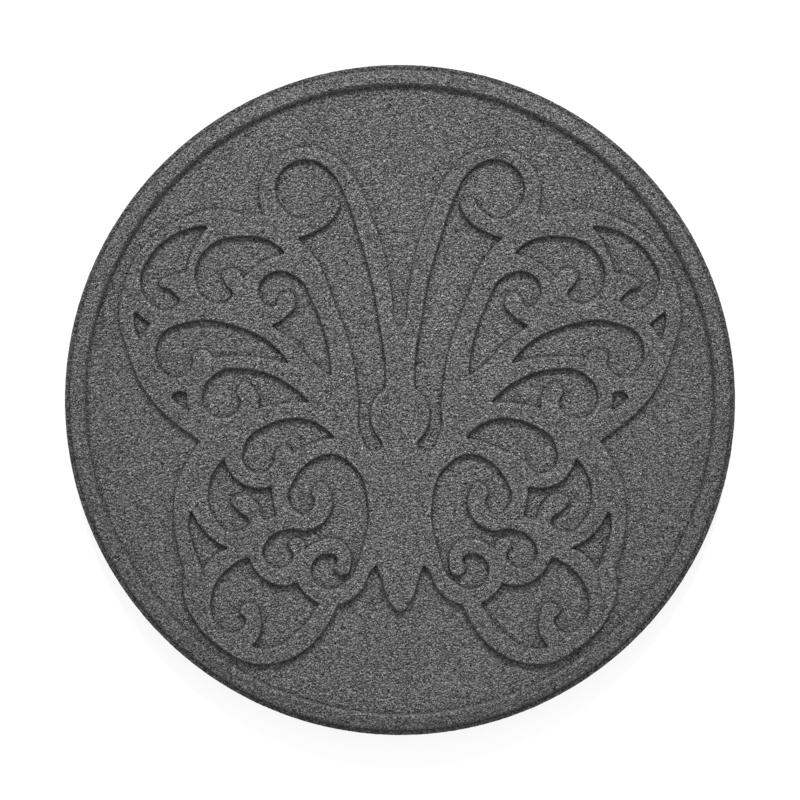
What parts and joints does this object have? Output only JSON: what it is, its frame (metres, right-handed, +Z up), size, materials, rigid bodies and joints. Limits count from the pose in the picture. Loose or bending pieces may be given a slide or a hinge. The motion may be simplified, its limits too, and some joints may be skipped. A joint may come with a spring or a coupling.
{
  "type": "garden stepping stone",
  "caption": "Round garden stepping stone moulded from bound rubber crumb, with a raised rim and a scrollwork butterfly in relief, laid flat on soil or turf to walk on.",
  "frame": {"origin": "middle of the flat underside", "axes": "+Z up, out of the relief face; +Y towards the butterfly's head; +X towards the wing on the right, seen from above with the head at the top"},
  "size_m": [0.4569, 0.457, 0.019],
  "materials": {
    "rubber_crumb": "matte, granular, mid grey"
  },
  "bodies": {
    "root": {"stepping_stone": "rubber_crumb"}
  },
  "joints": []
}
